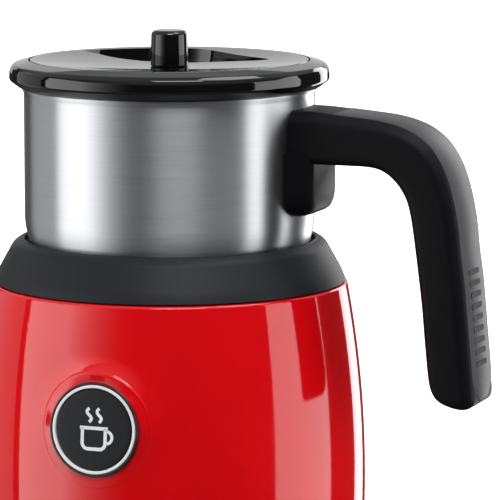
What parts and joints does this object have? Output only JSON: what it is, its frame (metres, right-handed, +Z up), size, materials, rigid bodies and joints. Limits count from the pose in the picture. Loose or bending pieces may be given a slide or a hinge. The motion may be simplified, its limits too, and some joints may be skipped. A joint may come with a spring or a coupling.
{
  "type": "induction milk frother",
  "caption": "Brushed steel frothing jug with handle, lid and magnetic whisk, standing in a round powered induction base with a front push button.",
  "frame": {"origin": "centre of the foot ring's underside, on the axis shared by base, jug and lid", "axes": "+Z up; the button and front face -Y; the handle points to +X and the pouring lip to -X; the cord gland is at +Y"},
  "size_m": [0.2037, 0.1652, 0.194],
  "materials": {
    "housing_gloss": "high gloss, red",
    "collar_soft": "fine matte, charcoal",
    "plate_black": "moulded, fine texture",
    "foot_rubber": "matte",
    "screw_steel": "zinc plated",
    "gland_rubber": "matte",
    "well_plastic": "satin",
    "hot_plate_ceramic": "smooth",
    "carrier_plastic": "heat resistant, natural",
    "coil_wire": "enamelled copper",
    "ferrite": "sintered",
    "bracket_steel": "pressed sheet",
    "motor_steel": "plated can",
    "board_green": "solder mask",
    "sink_aluminium": "extruded",
    "chip_black": "moulded",
    "capacitor_sleeve": "shrink sleeve",
    "terminal_plastic": "moulded",
    "fan_plastic": "moulded",
    "bezel_dark": "satin",
    "ring_white": "light diffuser",
    "button_face": "satin, dark grey",
    "lamp_clear": "clear resin",
    "sensor_metal": "turned",
    "spring_steel": "drawn wire",
    "jug_steel": "brushed round the axis",
    "base_disc_steel": "turned",
    "handle_soft": "fine matte texture, black",
    "strip_soft": "soft touch, dark grey",
    "lid_gloss": "high gloss, black",
    "seal_silicone": "matte",
    "bush_white": "low friction",
    "whisk_plastic": "satin",
    "magnet_nickel": "nickel plated",
    "shaft_steel": "ground"
  },
  "bodies": {
    "base": {"base_housing": "housing_gloss", "collar_ring": "collar_soft", "bottom_plate": "plate_black", "foot_ring": "foot_rubber", "bottom_screws": "screw_steel", "cord_gland": "gland_rubber", "well_tray": "well_plastic", "hot_plate": "hot_plate_ceramic", "coil_carrier": "carrier_plastic", "induction_coil": "coil_wire", "ferrite_bars": "ferrite", "carrier_screws": "screw_steel", "motor_bracket": "bracket_steel", "motor_can": "motor_steel", "motor_screws": "screw_steel", "main_pcb": "board_green", "pcb_screws": "screw_steel", "heat_sink": "sink_aluminium", "power_transistors": "chip_black", "capacitors": "capacitor_sleeve", "filter_choke": "coil_wire", "terminal_block": "terminal_plastic", "fan_frame": "fan_plastic", "button_bezel": "bezel_dark", "light_ring": "ring_white", "tact_switch": "chip_black", "button_pcb": "board_green", "status_leds": "lamp_clear", "sensor_spring": "spring_steel"},
    "jug": {"jug_shell": "jug_steel", "jug_base_disc": "base_disc_steel", "spindle_pin": "jug_steel", "handle_bracket": "bracket_steel", "handle_body": "handle_soft", "handle_back_strip": "strip_soft", "handle_screws": "screw_steel"},
    "lid": {"lid_shell": "lid_gloss", "lid_top_panel": "lid_gloss", "lid_inner_cover": "lid_gloss", "lid_seal": "seal_silicone", "lid_knob": "lid_gloss", "knob_screw": "screw_steel"},
    "whisk_bush": {"whisk_bush": "bush_white"},
    "whisk": {"whisk_hub": "whisk_plastic", "whisk_magnets": "magnet_nickel", "whisk_cap": "whisk_plastic", "whisk_coil": "spring_steel"},
    "magnet_rotor": {"rotor_shaft": "shaft_steel", "rotor_carrier": "carrier_plastic", "rotor_magnets": "magnet_nickel"},
    "fan_rotor": {"fan_blades": "fan_plastic"},
    "button": {"button_cap": "button_face", "switch_plunger": "chip_black"},
    "sensor": {"sensor_tip": "sensor_metal"}
  },
  "joints": [
    {"name": "jug_lift", "type": "slide", "parent": "base", "child": "jug", "axis": [0, 0, 1], "range_m": [0, 0.1]},
    {"name": "lid_lift", "type": "slide", "parent": "jug", "child": "lid", "axis": [0, 0, 1], "range_m": [0, 0.06]},
    {"name": "whisk_lift", "type": "slide", "parent": "jug", "child": "whisk_bush", "axis": [0, 0, 1], "range_m": [0, 0.03]},
    {"name": "whisk_spin", "type": "hinge", "parent": "whisk_bush", "child": "whisk", "pos_m": [0, 0, 0.101], "axis": [0, 0, 1], "continuous": true},
    {"name": "rotor_spin", "type": "hinge", "parent": "base", "child": "magnet_rotor", "pos_m": [0, 0, 0.089], "axis": [0, 0, 1], "continuous": true},
    {"name": "fan_spin", "type": "hinge", "parent": "base", "child": "fan_rotor", "pos_m": [0, 0, 0.017], "axis": [0, 0, 1], "continuous": true},
    {"name": "button_press", "type": "slide", "parent": "base", "child": "button", "axis": [0, 0.9971, -0.0767], "range_m": [0, 0.0012], "stiffness_N_per_m": 1200},
    {"name": "sensor_press", "type": "slide", "parent": "base", "child": "sensor", "axis": [0, 0, 1], "range_m": [-0.0015, 0], "stiffness_N_per_m": 800, "deforming": ["sensor_spring"]}
  ],
  "couplings": [
    {"joint": "whisk_spin", "follows": "rotor_spin", "ratio": 1}
  ]
}
